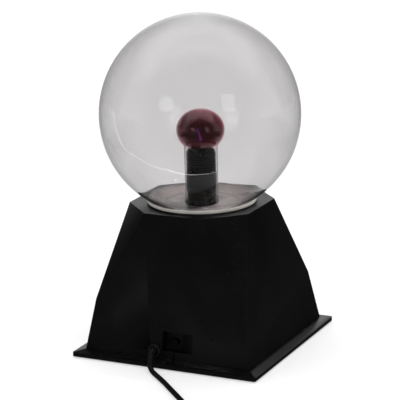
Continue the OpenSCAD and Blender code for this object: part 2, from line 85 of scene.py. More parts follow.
# %% Grid to mesh
def add_piece(name, mesh, finish, body="base", stands_for=()):
    """Puts a mesh in the scene with its finish, on a body of the frame."""
    piece = bpy.data.objects.new(name, mesh)
    bpy.context.scene.collection.objects.link(piece)
    mesh.materials.append(finish)
    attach(piece, body)
    if stands_for:
        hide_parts(*stands_for)
    return piece


def weld(mesh, sharp=40):
    """Joins points that coincide, turns every face outwards, and shades the mesh smooth
    except across edges that turn by more than sharp degrees."""
    bm = bmesh.new()
    bm.from_mesh(mesh)
    bmesh.ops.remove_doubles(bm, verts=bm.verts, dist=2e-6)
    bmesh.ops.dissolve_degenerate(bm, edges=bm.edges, dist=1e-7)
    bmesh.ops.recalc_face_normals(bm, faces=bm.faces)
    bm.to_mesh(mesh)
    bm.free()
    mesh.shade_smooth()
    mesh.set_sharp_from_angle(angle=radians(sharp))
    return mesh


def grid_mesh(name, grid, wrap=(False, True), sharp=40):
    """Face (i, j) joins grid points (i, j), (i, j+1), (i+1, j+1) and (i+1, j). wrap joins
    the last row to the first, and the last column to the first."""
    rows, columns = grid.shape[:2]
    i, j = np.meshgrid(np.arange(rows - (not wrap[0])), np.arange(columns - (not wrap[1])),
                       indexing="ij")
    i2, j2 = (i + 1) % rows, (j + 1) % columns
    faces = np.stack([i * columns + j, i * columns + j2, i2 * columns + j2,
                      i2 * columns + j], -1).reshape(-1, 4)
    mesh = bpy.data.meshes.new(name)
    mesh.from_pydata((grid.reshape(-1, 3) * MM).tolist(), [], faces.tolist())
    return weld(mesh, sharp)


def rounded(points, cut, steps=4, closed=True):
    """Cuts each corner P of a line back by the same length to A and B on its two sides, and
    bridges the gap with the parabola (1-s)^2 A + 2 s (1-s) P + s^2 B."""
    p = np.asarray(points, float)
    before, after = np.roll(p, 1, 0) - p, np.roll(p, -1, 0) - p
    long_before = np.linalg.norm(before, axis=1, keepdims=True)
    long_after = np.linalg.norm(after, axis=1, keepdims=True)
    room = 0.45 * np.minimum(long_before, long_after)
    c = np.minimum(np.reshape(cut, (-1, 1)) + 0 * room, room)
    if not closed:
        c[[0, -1]] = 0
    a, b = p + before / long_before * c, p + after / long_after * c
    s = np.linspace(0, 1, steps + 1)[None, :, None]
    arcs = (1 - s) ** 2 * a[:, None] + 2 * s * (1 - s) * p[:, None] + s ** 2 * b[:, None]
    return arcs.reshape(-1, p.shape[1])


def turned(name, profile, centre=(0, 0, 0), axis=2, steps=144, sharp=40, wrap=True):
    """Carries each profile point (r, h) round an axis: r cos u and r sin u across it and h
    along it. axis 0, 1 or 2 is X, Y or Z."""
    profile = np.asarray(profile, float)
    u = np.linspace(0, 2 * np.pi, steps, endpoint=False)
    r, h = profile[:, :1], profile[:, 1:]
    across = [r * np.cos(u), r * np.sin(u)]
    across.insert(axis, h + 0 * u)
    return grid_mesh(name, np.stack(across, -1) + np.asarray(centre, float),
                     (wrap, True), sharp)


# %% [markdown]
# ## Shapes carried along a path
# A lead, its strain relief and a wire are a small outline carried along a curve. A
# Catmull-Rom curve passes through all of the given points, so the route can be listed as
# places that matter, and the points between them are worked out.

# %% Curves and tubes
def smooth_path(points, per=8):
    """Catmull-Rom: between points P1 and P2, with neighbours P0 and P3, the place at s is
    half of 2 P1 + (P2-P0) s + (2 P0 - 5 P1 + 4 P2 - P3) s^2 + (3 P1 - P0 - 3 P2 + P3) s^3."""
    p = np.asarray(points, float)
    p = np.vstack([2 * p[:1] - p[1:2], p, 2 * p[-1:] - p[-2:-1]])
    p0, p1, p2, p3 = (p[k:len(p) - 3 + k, None] for k in range(4))
    s = np.linspace(0, 1, per, endpoint=False)[None, :, None]
    curve = 0.5 * (2 * p1 + (p2 - p0) * s + (2 * p0 - 5 * p1 + 4 * p2 - p3) * s ** 2
                   + (3 * p1 - p0 - 3 * p2 + p3) * s ** 3)
    return np.vstack([curve.reshape(-1, p.shape[1]), p[-2:-1]])


def swept(name, path, radii, sides=24, sharp=50):
    """A ring of radius r at each path point: r cos v sideways and r sin v upwards, both
    square to the path. The ends close in a pole."""
    heading = np.gradient(path, axis=0)
    heading /= np.linalg.norm(heading, axis=1, keepdims=True)
    side = np.cross(heading, [0, 0, 1])
    side /= np.linalg.norm(side, axis=1, keepdims=True)
    top = np.cross(side, heading)
    v = np.linspace(0, 2 * np.pi, sides, endpoint=False)[None, :, None]
    r = np.reshape(radii, (-1, 1, 1))
    rings = path[:, None] + r * (np.cos(v) * side[:, None] + np.sin(v) * top[:, None])
    ends = [np.repeat(path[k][None, None], sides, 1) for k in (0, -1)]
    return grid_mesh(name, np.vstack([ends[0], rings, ends[1]]), (False, True), sharp)


# %% [markdown]
# ## The route of the lead
# The lead is 5 mm thick. It leaves the rear wall straight, bends down to the table, runs
# over it in one straight stretch and out of the view. The rest is put away: two layers of
# a flat coil, wound inwards below and outwards on top, and then the plug. It is one open
# curve, as the real one is one piece.

# %% Lead
lead_d = 5
exit_point = np.array([12.5, 92, 15.5])
relief_route = [[12.5, 92, 15.5], [12.5, 93.5, 15.5], [11.9, 97.5, 14.4], [10.7, 101.9, 11.6],
                [9.0, 106.3, 7.8], [6.1, 110.4, 4.5]]
table_route = [[2.3, 114.1, 2.8], [-1.8, 117.7, 2.5], [-12.6, 127.6, 2.5], [-23, 137.5, 2.5],
               [-33, 147.7, 2.5], [-43, 157.8, 2.5], [-53, 167.9, 2.5], [-63, 178, 2.5],
               [-73, 188, 2.5], [-83, 198, 2.6], [-93, 207.9, 2.9]]
tail_route = [[-65, 281, 8.1], [-55, 281, 7.8], [-45, 281, 7.3], [-35, 281, 7], [-24, 281, 7]]
coil_centre = np.array([-77, 244])
coil_inner, coil_outer = 22, 37
layer_low, layer_high = 3.1, 8.1
layer_turns, climb_turns = 3, 0.374
coil_start = radians(224.7)


def coil_points(per_turn=20):
    """Angle and radius both change evenly: three turns from the outer to the inner radius
    on the lower layer, 0.374 of a turn at the inner radius that climbs to the upper layer,
    and three turns back out. Seen from above it winds clockwise."""
    all_turns = 2 * layer_turns + climb_turns
    turns = np.append(np.arange(0, all_turns + 1e-9, 1 / per_turn), all_turns)
    angle = coil_start - 2 * np.pi * turns
    r = np.interp(turns, [0, layer_turns, layer_turns + climb_turns, all_turns],
                  [coil_outer, coil_inner, coil_inner, coil_outer])
    climb = np.clip((turns - layer_turns) / climb_turns, 0, 1)
    z = layer_low + (layer_high - layer_low) * climb ** 2 * (3 - 2 * climb)
    return np.stack([coil_centre[0] + r * np.cos(angle), coil_centre[1] + r * np.sin(angle),
                     z], 1)


lead_points = np.vstack([relief_route, table_route, coil_points(), tail_route])
lead_curve = bpy.data.curves.new("lead", "CURVE")
lead_curve.dimensions = "3D"
spline = lead_curve.splines.new("BEZIER")
spline.bezier_points.add(len(lead_points) - 1)
spline.bezier_points.foreach_set("co", (lead_points * MM).ravel())
for knot in spline.bezier_points:
    knot.handle_left_type = knot.handle_right_type = "AUTO"
    knot.radius = lead_d / 2 * MM
spline.resolution_u = 5
lead_curve.bevel_depth = 1
lead_curve.bevel_resolution = 5
lead_curve.use_fill_caps = True
lead = bpy.data.objects.new("lead", lead_curve)
bpy.context.scene.collection.objects.link(lead)
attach(lead, "base")
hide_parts("cord_lead", "cord_coil", "cord_tail")

# %% [markdown]
# ## Shader groups
# The finishes share a few effects: the fine grain of moulded plastic, a roughness that
# wanders where hands have been, a slow drift of tone, dust that settles on faces that look
# up, and hairline scratches. Each effect is one node group, and each material gives it its
# own values. Materials read Object coordinates, and so they count in metres.

# %% Node helpers
def add_node(tree, kind, wires=None, **settings):
    """Adds a node. wires gives each input a number or colour, or another node's output."""
    made = tree.nodes.new("ShaderNode" + kind)
    for key, value in settings.items():
        setattr(made, key, value)
    for key, value in (wires or {}).items():
        if isinstance(value, bpy.types.NodeSocket):
            tree.links.new(value, made.inputs[key])
        else:
            made.inputs[key].default_value = value
    return made


def worked(tree, operation, *values):
    """The output of a Math node."""
    return add_node(tree, "Math", dict(enumerate(values)), operation=operation).outputs[0]


def ramp(tree, value, first_at, last_at, first=0.0, last=1.0, **settings):
    """Runs from first, where value is first_at, to last, where it is last_at."""
    return add_node(tree, "MapRange",
                    {"Value": value, "From Min": first_at, "From Max": last_at,
                     "To Min": first, "To Max": last}, **settings).outputs[0]


def new_group(name, inputs, output, kind="NodeSocketFloat"):
    """An empty node group: named inputs with default values, and one named output."""
    tree = bpy.data.node_groups.new(name, "ShaderNodeTree")
    for label, value in inputs.items():
        vector = label == "Vector"
        colour = isinstance(value, tuple)
        socket = tree.interface.new_socket(
            label, in_out="INPUT", socket_type="NodeSocketVector" if vector else
            "NodeSocketColor" if colour else "NodeSocketFloat")
        if not vector:
            socket.default_value = value
    tree.interface.new_socket(output, in_out="OUTPUT", socket_type=kind)
    return tree, tree.nodes.new("NodeGroupInput").outputs, tree.nodes.new("NodeGroupOutput")


# %% Grain, tone, handling marks
tree, given, result = new_group("moulded_grain", {"Vector": None, "Scale": 900.0}, "Height")
coarse = add_node(tree, "TexNoise", {"Vector": given["Vector"], "Scale": given["Scale"],
                                     "Detail": 3.0, "Roughness": 0.6})
tree.links.new(coarse.outputs["Fac"], result.inputs[0])

tree, given, result = new_group(
    "tone_drift", {"Vector": None, "Scale": 30.0, "First": (0.5, 0.5, 0.5, 1),
                   "Second": (0.4, 0.4, 0.4, 1)}, "Color", "NodeSocketColor")
cloud = add_node(tree, "TexNoise", {"Vector": given["Vector"], "Scale": given["Scale"],
                                    "Detail": 5.0, "Roughness": 0.55})
blend = ramp(tree, cloud.outputs["Fac"], 0.35, 0.65)
mixed = add_node(tree, "Mix", {0: blend, 6: given["First"], 7: given["Second"]},
                 data_type="RGBA")
tree.links.new(mixed.outputs[2], result.inputs[0])

tree, given, result = new_group(
    "handling_marks", {"Vector": None, "Scale": 25.0, "Low": 0.3, "High": 0.4}, "Roughness")
patch = add_node(tree, "TexNoise", {"Vector": given["Vector"], "Scale": given["Scale"],
                                    "Detail": 6.0, "Roughness": 0.62, "Distortion": 0.4})
tree.links.new(ramp(tree, patch.outputs["Fac"], 0.32, 0.68, given["Low"], given["High"]),
               result.inputs[0])

# %% Dust and scratches
tree, given, result = new_group(
    "settled_dust", {"Vector": None, "Scale": 450.0, "Amount": 0.3}, "Mask")
specks = add_node(tree, "TexNoise", {"Vector": given["Vector"], "Scale": given["Scale"],
                                     "Detail": 2.0})
rare = ramp(tree, specks.outputs["Fac"], 0.62, 0.74)
facing = add_node(tree, "SeparateXYZ", {0: add_node(tree, "NewGeometry").outputs["Normal"]})
lying = ramp(tree, facing.outputs["Z"], 0.35, 0.95, 0.06)
both = worked(tree, "MULTIPLY", rare, lying)
tree.links.new(worked(tree, "MULTIPLY", both, given["Amount"]), result.inputs[0])

tree, given, result = new_group(
    "hairlines", {"Vector": None, "Scale": 60.0}, "Height")
stretch = add_node(tree, "Mapping", {"Vector": given["Vector"], "Scale": (1, 14, 5),
                                     "Rotation": (0.4, 0.3, 0.9)})
strands = add_node(tree, "TexNoise", {"Vector": stretch.outputs[0], "Scale": given["Scale"],
                                      "Detail": 2.0, "Distortion": 0.6})
tree.links.new(ramp(tree, strands.outputs["Fac"], 0.68, 0.72, 1.0, 0.0), result.inputs[0])

tree, given, result = new_group(
    "fine_lines", {"Vector": None, "Scale": 300.0, "Wobble": 0.4}, "Height")
wave = add_node(tree, "TexWave", {"Vector": given["Vector"], "Scale": given["Scale"],
                                  "Distortion": given["Wobble"], "Detail": 2.0,
                                  "Detail Scale": 1.5}, wave_profile="SIN")
tree.links.new(wave.outputs["Fac"], result.inputs[0])
print("groups:", [g.name for g in bpy.data.node_groups])


# %% [markdown]
# ## One recipe for the opaque finishes
# A Principled shader reads the groups. What changes over the surface is wired, and what is
# the same everywhere, such as the specular level, is typed on the shader's own socket.

# %% Opaque finish
def grey(value, warm=0.0):
    """A colour from one brightness, with a little more red than blue where it is warm."""
    return (value * (1 + warm), value, value * (1 - warm), 1)


def use_group(tree, name, wires):
    """Places a shader group, gives it its wires, and returns its output."""
    made = add_node(tree, "Group", node_tree=bpy.data.node_groups[name])
    for key, value in wires.items():
        if isinstance(value, bpy.types.NodeSocket):
            tree.links.new(value, made.inputs[key])
        else:
            made.inputs[key].default_value = value
    return made.outputs[0]


def new_material(name):
    """A new material, with its node tree, its Principled shader and Object coordinates."""
    material = bpy.data.materials.new(name)
    material.use_nodes = True
    tree = material.node_tree
    shader = tree.nodes["Principled BSDF"]
    place = add_node(tree, "TexCoord").outputs["Object"]
    return material, tree, shader, place


def opaque(name, first, second, rough=(0.35, 0.45), grain=900, depth=0.00002, marks=25,
           dust=0.0, hair=0.0, lines=None, drift=30, **constants):
    """first and second are the colours the tone drifts between, rough the least and most
    roughness, grain its size, depth its height in metres, and lines an optional (turn,
    scale, depth) of fine parallel lines."""
    material, tree, shader, place = new_material(name)
    colour = use_group(tree, "tone_drift", {"Vector": place, "Scale": drift, "First": first,
                                            "Second": second})
    if dust:
        mask = use_group(tree, "settled_dust", {"Vector": place, "Amount": dust})
        colour = add_node(tree, "Mix", {0: mask, 6: colour, 7: (0.35, 0.34, 0.32, 1)},
                          data_type="RGBA").outputs[2]
    tree.links.new(colour, shader.inputs["Base Color"])
    tree.links.new(use_group(tree, "handling_marks", {"Vector": place, "Scale": marks,
                                                      "Low": rough[0], "High": rough[1]}),
                   shader.inputs["Roughness"])
    fine = use_group(tree, "moulded_grain", {"Vector": place, "Scale": grain})
    bump = add_node(tree, "Bump", {"Height": fine, "Distance": depth, "Strength": 1.0})
    if hair:
        scratch = use_group(tree, "hairlines", {"Vector": place})
        bump = add_node(tree, "Bump", {"Height": scratch, "Distance": hair, "Strength": 1.0,
                                       "Normal": bump.outputs[0]})
    if lines:
        turn, scale, high = lines
        turned_place = add_node(tree, "Mapping", {"Vector": place, "Rotation": turn}).outputs[0]
        ridge = use_group(tree, "fine_lines", {"Vector": turned_place, "Scale": scale})
        bump = add_node(tree, "Bump", {"Height": ridge, "Distance": high, "Strength": 1.0,
                                       "Normal": bump.outputs[0]})
    tree.links.new(bump.outputs[0], shader.inputs["Normal"])
    for key, value in constants.items():
        shader.inputs[key.replace("_", " ")].default_value = value
    return material


# %% [markdown]
# ## Finishes of the outside
# The base is black satin plastic with a very fine grain, and a painted sheen greys its
# flange's top on one side. The collar is warm light grey, and the dish under the globe is
# painted a warm grey with a soft metallic sheen.

# %% Outside finishes
black_base = opaque("black_base_plastic", grey(0.0030), grey(0.0042, 0.03), (0.27, 0.35),
                    grain=1400, depth=0.000012, marks=18, dust=0.10, hair=0.000004,
                    Specular_IOR_Level=0.26)


def flange_painted_sheen(material, grey_level, limits):
    """Greys the flange's top on its -X side: a painted sheen that stands in for the light this
    face reflects. The share of grey is a product of ramps, one for each (measure, where it is
    0, where it is 1): across the flange, up to the mitre, where X + Y = 0, and from its edge up
    to its foot."""
    tree = material.node_tree
    shader = tree.nodes["Principled BSDF"]
    plain = shader.inputs["Base Color"].links[0].from_socket
    place = tree.nodes["Texture Coordinate"].outputs["Object"]
    parts = add_node(tree, "SeparateXYZ", {0: place}).outputs
    measures = {"x": parts["X"], "z": parts["Z"],
                "mitre": worked(tree, "ADD", parts["X"], parts["Y"])}
    share = 1.0
    for measure, none_at, all_at in limits:
        share = worked(tree, "MULTIPLY", share, ramp(tree, measures[measure], none_at, all_at))
    mixed = add_node(tree, "Mix", {0: share, 6: plain, 7: grey(grey_level)},
                     data_type="RGBA").outputs[2]
    tree.links.new(mixed, shader.inputs["Base Color"])


# Painted sheen: a grey band on the flange's top stands in for the light that face reflects.
flange_painted_sheen(black_base, 0.040, [("x", -0.0895, -0.0925), ("mitre", 0.0, -0.0012),
                              ("z", 0.0085, 0.0073), ("z", 0.0046, 0.0050)])
collar_grey = opaque("collar_grey_plastic", (0.60, 0.58, 0.53, 1), (0.52, 0.50, 0.455, 1),
                     (0.38, 0.5), grain=800, depth=0.00002, dust=0.15, drift=60,
                     Specular_IOR_Level=0.5)
dish_grey = opaque("dish_warm_grey_paint", (0.72, 0.655, 0.62, 1), (0.60, 0.52, 0.48, 1),
                   (0.3, 0.42), grain=2200, depth=0.00001, drift=45, Metallic=0.4,
                   Specular_IOR_Level=0.5)
sleeve_black = opaque("sleeve_black_rubber", grey(0.007), grey(0.013, 0.05), (0.22, 0.36),
                      grain=1200, depth=0.00003, marks=60, Specular_IOR_Level=0.5)
neck_brown = opaque("neck_brown_plastic", (0.012, 0.007, 0.006, 1), (0.02, 0.01, 0.008, 1),
                    (0.35, 0.5), marks=70, Specular_IOR_Level=0.4)
tape_grey = opaque("insulating_tape", grey(0.12, -0.03), grey(0.16, -0.02), (0.3, 0.44),
                   grain=500, depth=0.00004, marks=50,
                   lines=((0, radians(90), 0), 220, 0.00002), Specular_IOR_Level=0.5)
lead_black = opaque("lead_black_sheath", grey(0.006), grey(0.009), (0.26, 0.36), grain=700,
                    depth=0.00002, marks=40, dust=0.06, Specular_IOR_Level=0.4)
bushing_black = opaque("bushing_black_nylon", grey(0.007), grey(0.010), (0.22, 0.34),
                       grain=900, marks=90, Specular_IOR_Level=0.5)
plate_black = opaque("plate_black_plastic", grey(0.02), grey(0.028), (0.5, 0.62), grain=500,
                     depth=0.00005, Specular_IOR_Level=0.35)
foot_rubber = opaque("foot_rubber", grey(0.022), grey(0.032), (0.7, 0.85), grain=600,
                     depth=0.00004, dust=0.2, Specular_IOR_Level=0.3)
knob_black = opaque("knob_black_plastic", grey(0.003), grey(0.0045), (0.35, 0.5), grain=900,
                    marks=200, Specular_IOR_Level=0.25)
tie_black = opaque("hook_and_loop_strap", grey(0.016), grey(0.03), (0.8, 0.95), grain=1500,
                   depth=0.0004, drift=900, Sheen_Weight=0.35)
plug_black = opaque("plug_black_moulding", grey(0.008), grey(0.012), (0.3, 0.42), grain=1000,
                    dust=0.05, Specular_IOR_Level=0.45)
print("outside finishes:", len(bpy.data.materials))

# %% [markdown]
# ## Finishes of the inside
# The parts inside the base are seen only when it is opened, but each has the finish of the
# real kind: a green board, a laminated core, yellow winding tape, plated steel.

# %% Inside finishes
inside = {
    "zinc_plated_steel": ((0.55, 0.55, 0.56, 1), (0.45, 0.45, 0.44, 1), (0.28, 0.42),
                          dict(Metallic=1.0, grain=900),
                          ["bottom_screws", "board_screws", "transformer_screws",
                           "switch_screws"]),
    "rolled_steel_strip": ((0.5, 0.5, 0.52, 1), (0.42, 0.42, 0.43, 1), (0.3, 0.45),
                           dict(Metallic=1.0, lines=((0, 0, 0), 400, 0.00001)),
                           ["transformer_strap", "switch_frame"]),
    "bare_brass": ((0.72, 0.55, 0.25, 1), (0.62, 0.46, 0.2, 1), (0.25, 0.4),
                   dict(Metallic=1.0, hair=0.00001),
                   ["fuse_clips", "switch_terminals"]),
    "extruded_aluminium": ((0.6, 0.61, 0.63, 1), (0.54, 0.55, 0.56, 1), (0.35, 0.5),
                           dict(Metallic=1.0, lines=((0, 0, 0), 500, 0.00002)),
                           ["heat_sink", "microphone"]),
    "nut_black_nylon": (grey(0.02), grey(0.03), (0.4, 0.55), dict(grain=500),
                        ["collar_nut", "bushing_nut"]),
    "bung_rubber": (grey(0.03), grey(0.045, 0.05), (0.7, 0.85), dict(grain=500), ["stem_bung"]),
    "red_silicone": ((0.5, 0.03, 0.02, 1), (0.4, 0.02, 0.015, 1), (0.4, 0.55),
                     dict(grain=700), ["hv_lead"]),
    "green_board": ((0.02, 0.13, 0.045, 1), (0.015, 0.09, 0.03, 1), (0.25, 0.4),
                    dict(drift=140, lines=((0, 0, radians(90)), 90, 0.00004),
                         Coat_Weight=0.4), ["circuit_board"]),
    "natural_nylon": ((0.72, 0.7, 0.6, 1), (0.66, 0.63, 0.54, 1), (0.4, 0.55), {},
                      ["board_spacers"]),
    "sintered_ferrite": (grey(0.035), grey(0.055), (0.45, 0.65), dict(grain=1500),
                         ["flyback_core"]),
    "potting_resin": (grey(0.02), grey(0.03), (0.15, 0.3), dict(grain=200, depth=0.00006),
                      ["flyback_winding"]),
    "moulded_epoxy": (grey(0.015), grey(0.022), (0.45, 0.6), dict(grain=1500),
                      ["power_transistor", "rectifier_diodes"]),
    "blue_shrink_sleeve": ((0.015, 0.025, 0.12, 1), (0.01, 0.018, 0.09, 1), (0.2, 0.35),
                           dict(grain=150, depth=0.00003), ["capacitors"]),
    "steel_laminations": (grey(0.16), grey(0.11, 0.1), (0.35, 0.55),
                          dict(Metallic=0.7, lines=((0, 0, 0), 320, 0.00012)),
                          ["transformer_core"]),
    "yellow_winding_tape": ((0.62, 0.42, 0.08, 1), (0.52, 0.34, 0.06, 1), (0.3, 0.45),
                            dict(lines=((0, radians(90), 0), 110, 0.00005), Coat_Weight=0.3),
                            ["transformer_coil"]),
    "brown_wire_sheath": ((0.16, 0.06, 0.03, 1), (0.12, 0.045, 0.02, 1), (0.35, 0.5), {},
                          ["supply_wires"]),
    "red_wire_sheath": ((0.4, 0.03, 0.02, 1), (0.3, 0.02, 0.015, 1), (0.35, 0.5), {},
                        ["low_voltage_wires"]),
}
for name, (first, second, rough, more, where) in inside.items():
    material = opaque(name, first, second, rough, **more)
    for node in where:
        for held in nodes[node].material_slots:
            held.material = material
print("inside finishes:", len(inside))


# %% [markdown]
# ## Glass
# Clear glass bends light and reflects it, and a tint in it darkens what is behind. Lamps
# have to light what stands inside, so for the rays that test for shadow the glass is mixed
# with a Transparent shader. A long, weak ripple stands for the way blown glass varies. The
# bulb's glass is tinted pink above the tube, so that its rim shows pink round the film.

# %% Glass finish
def glass(name, tint, ripple=12, depth=0.00002, ior=1.47):
    """tint is the colour that light keeps at each face. ripple is the size of the waves in
    the blown surface, and depth their height in metres."""
    material, tree, shader, place = new_material(name)
    shader.inputs["Base Color"].default_value = tint
    shader.inputs["Roughness"].default_value = 0.0
    shader.inputs["Transmission Weight"].default_value = 1.0
    shader.inputs["IOR"].default_value = ior
    slow = use_group(tree, "moulded_grain", {"Vector": place, "Scale": ripple})
    bump = add_node(tree, "Bump", {"Height": slow, "Distance": depth, "Strength": 1.0})
    tree.links.new(bump.outputs[0], shader.inputs["Normal"])
    lamp_ray = add_node(tree, "LightPath").outputs["Is Shadow Ray"]
    clear = add_node(tree, "BsdfTransparent", {"Color": (0.86, 0.86, 0.87, 1)})
    both = add_node(tree, "MixShader", {0: lamp_ray, 1: shader.outputs[0],
                                        2: clear.outputs[0]})
    tree.links.new(both.outputs[0], tree.nodes["Material Output"].inputs["Surface"])
    return material


globe_clear = glass("globe_smoked_glass", (0.770, 0.760, 0.765, 1), ripple=9)
bulb_clear = glass("bulb_pink_glass", (1.0, 1.0, 1.0, 1), ripple=30)
tree = bulb_clear.node_tree
shader = tree.nodes["Principled BSDF"]
place = tree.nodes["Texture Coordinate"].outputs["Object"]
high = add_node(tree, "SeparateXYZ", {0: place}).outputs["Z"]
tube_top, bulb_foot = 0.199, 0.206
blown = ramp(tree, high, tube_top, bulb_foot)
pink = use_group(tree, "tone_drift", {"Vector": place, "Scale": 60, "First":
                                      (1.0, 0.56, 0.62, 1), "Second": (1.0, 0.66, 0.72, 1)})
tint = add_node(tree, "Mix", {0: blown, 6: (0.97, 0.98, 0.98, 1), 7: pink}, data_type="RGBA")
tree.links.new(tint.outputs[2], shader.inputs["Base Color"])
fuse_clear = glass("fuse_glass", (0.93, 0.97, 0.96, 1), ripple=60)
for held in nodes["fuse"].material_slots:
    held.material = fuse_clear
print("glass:", [m.name for m in (globe_clear, bulb_clear, fuse_clear)])

# %% [markdown]
# ## The globe
# It is blown: a thin wall, round all over but for a flat foot, where the electrode's tube
# goes in. Its profile runs down the outside, under the foot, up round the hole and back up
# the inside, so the glass has a real thickness and light bends in it as in the real wall.

# %% Globe
globe_r, globe_z, globe_wall = 100, 234.3, 1.8
globe_in = globe_r - globe_wall
glass_floor = 142.9
hole_r = 16.75


def arc(r_across, r_up, centre_z, start, stop, count):
    """Ellipse: (a cos w, c + b sin w) for w from start to stop degrees."""
    w = np.radians(np.linspace(start, stop, count))
    return np.stack([r_across * np.cos(w), centre_z + r_up * np.sin(w)], 1)


low_out = -np.degrees(np.arcsin((globe_z - glass_floor) / globe_r)) + 3.2
low_in = -np.degrees(np.arcsin((globe_z - glass_floor - globe_wall) / globe_in)) + 3
foot_out = np.sqrt(globe_r ** 2 - (globe_z - glass_floor) ** 2) - 0.6
foot_in = 37.6
foot = rounded([arc(globe_r, globe_r, globe_z, low_out, low_out, 1)[0],
                [foot_out, glass_floor],
                [hole_r, glass_floor], [hole_r, glass_floor + globe_wall],
                [foot_in, glass_floor + globe_wall],
                arc(globe_in, globe_in, globe_z, low_in, low_in, 1)[0]],
               [0, 5, 0.5, 0.8, 4, 0], steps=8, closed=False)
globe_profile = np.vstack([arc(globe_r, globe_r, globe_z, 90, low_out, 120), foot,
                           arc(globe_in, globe_in, globe_z, low_in, 90, 120)])
globe = add_piece("globe", turned("globe", globe_profile, steps=192, sharp=80, wrap=False),
                  globe_clear, stands_for=["globe_glass"])
print("globe:", len(globe.data.polygons), "faces")

# %% [markdown]
# ## The electrode's bulb and tube
# The inner glass is a flattened bulb that runs down into a tube. Where they meet, the glass
# was drawn in hot, so the corner is soft. The wall has its thickness here too, because the
# bright rim round the dark bulb is that wall, seen edge on.

# %% Bulb glass
bulb_a, bulb_b, bulb_z = 24, 21.2, 218.3
tube_r, tube_wall, tube_low = 16.7, 0.6, 138.9


def bulb_outline(inset):
    """Half an ellipse from the top pole to the tube's radius, then straight down."""
    a, b, r = bulb_a - inset, bulb_b - inset, tube_r - inset
    low = -np.degrees(np.arccos(r / a))
    bulb = arc(a, b, bulb_z, 90, low + 9, 60)
    z_meet = bulb_z + b * np.sin(np.radians(low))
    soft = rounded([bulb[-1], [r, z_meet - 0.6], [r, z_meet - 8]], 2.4, 8, closed=False)
    return np.vstack([bulb, soft, [[r, tube_low]]])


outer, inner = bulb_outline(0), bulb_outline(tube_wall)
bulb = add_piece("electrode_bulb",
                 turned("electrode_bulb", np.vstack([outer, inner[::-1]]), steps=128, sharp=60,
                        wrap=False),
                 bulb_clear, stands_for=["electrode_glass"])

# %% [markdown]
# ## The coating in the bulb
# A dark red-purple film covers the inside of the bulb. It lets a little light through in
# thin patches and none at its foot, it is redder where it is seen edge on, and it reflects
# like a poor mirror. The film is a thin closed shell just inside the glass, and its alpha
# and colour wander with noise.

# %% Coating
coat_gap, coat_wall, coat_hole = 0.75, 0.3, 15.6
film_out = tube_wall + coat_gap
film_in = film_out + coat_wall


def film_outline(inset):
    """Part of the bulb's ellipse, from the top pole down to the opening over the sleeve."""
    a, b = bulb_a - inset, bulb_b - inset
    return arc(a, b, bulb_z, 90, -np.degrees(np.arccos(coat_hole / a)), 70)


film, tree, shader, place = new_material("bulb_dark_film")
stain = use_group(tree, "tone_drift",
                  {"Vector": place, "Scale": 55, "First": (0.030, 0.020, 0.020, 1),
                   "Second": (0.09, 0.005, 0.014, 1)})
side_on = add_node(tree, "LayerWeight", {"Blend": 0.5}).outputs["Facing"]
coat_tone = add_node(tree, "Mix", {0: ramp(tree, side_on, 0.45, 0.85), 6: stain,
                                   7: (0.17, 0.006, 0.02, 1)}, data_type="RGBA")
tree.links.new(coat_tone.outputs[2], shader.inputs["Base Color"])
thin_film = use_group(tree, "handling_marks", {"Vector": place, "Scale": 48, "Low": 0.70,
                                               "High": 0.93})
height = add_node(tree, "SeparateXYZ", {0: place}).outputs["Z"]
thick_foot = ramp(tree, height, 0.2125, 0.2065, 0.0, 0.95)
tree.links.new(worked(tree, "MAXIMUM", thin_film, thick_foot), shader.inputs["Alpha"])
tree.links.new(use_group(tree, "handling_marks", {"Vector": place, "Scale": 90, "Low": 0.08,
                                                  "High": 0.2}), shader.inputs["Roughness"])
shader.inputs["IOR"].default_value = 1.9
film_mesh = turned("electrode_film", np.vstack([film_outline(film_out),
                                                film_outline(film_in)[::-1]]),
                   steps=128, sharp=60, wrap=False)
electrode_film = add_piece("electrode_film", film_mesh, film,
                           stands_for=["electrode_coating"])
print("bulb and film:", len(bulb.data.polygons), len(film_mesh.polygons), "faces")

# %% [markdown]
# ## The sleeve, its neck and the wire
# A black sleeve of many narrow ribs stands in the tube. A brown neck and a short bent wire
# rise from it into the bulb, and the wire has a faint violet glow.

# %% Ribbed sleeve
sleeve_r, rib_pitch, rib_root = 14.7, 2.7, 1.3
sleeve_low, sleeve_high = 143.2, 200.5
rib_count = int((sleeve_high - 2 - sleeve_low) / rib_pitch)
# Root, crest, crest and root of one rib, in shares of the pitch
rib_step = np.array([0.05, 0.2, 0.75, 0.9])
rib_z = (sleeve_low + rib_pitch * (np.arange(rib_count)[:, None] + rib_step)).ravel()
rib_out = np.tile(sleeve_r - rib_root * np.array([1, 0, 0, 1]), rib_count)
sleeve_line = np.vstack([[[5, sleeve_low]], np.stack([rib_out, rib_z], 1),
                         [[sleeve_r - rib_root, sleeve_high - 2],
                          [sleeve_r - 2.6, sleeve_high], [5, sleeve_high]]])
sleeve = add_piece("ribbed_sleeve_piece",
                   turned("ribbed_sleeve_piece", rounded(sleeve_line, 0.35, 3), steps=128,
                          sharp=60), sleeve_black,
                   stands_for=["ribbed_sleeve"])
neck_line = [[2.4, 200.55], [9.8, 200.55], [9.8, 204.6], [8.2, 207], [2.4, 207]]
neck = add_piece("sleeve_neck_piece",
                 turned("sleeve_neck_piece", rounded(neck_line, [0.1, 0.1, 0.9, 0.9, 0.1]),
                        steps=96), neck_brown, stands_for=["sleeve_neck"])
print("sleeve:", rib_count, "ribs")

